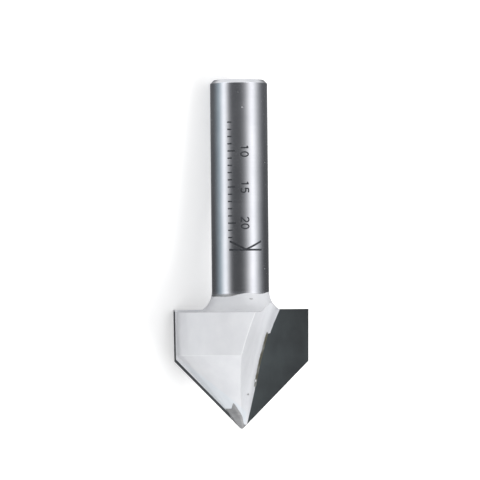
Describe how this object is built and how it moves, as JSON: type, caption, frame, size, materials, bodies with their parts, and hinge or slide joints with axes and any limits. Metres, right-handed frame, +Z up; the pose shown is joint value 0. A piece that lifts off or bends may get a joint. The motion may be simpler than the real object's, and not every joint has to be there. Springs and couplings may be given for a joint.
{
  "type": "v groove router bit",
  "caption": "V groove router bit: a plain round shank, a concave neck and a conical head with straight flutes and brazed carbide tips that meet in a point.",
  "frame": {"origin": "under the middle of the bit as it lies, on the surface that it rests on", "axes": "+Z up, square to the resting surface; +Y along the shank, seen from above; the visible flute faces up"},
  "size_m": [0.018, 0.0486, 0.0164],
  "materials": {
    "steel_body": "ground shank, head painted pale grey",
    "carbide": "ground sintered carbide, dark satin",
    "braze": "dull braze filler"
  },
  "bodies": {
    "root": {"bit_body": "steel_body", "carbide_tip_right": "carbide", "carbide_tip_left": "carbide", "braze_seam_right": "braze", "braze_seam_left": "braze"}
  },
  "joints": []
}
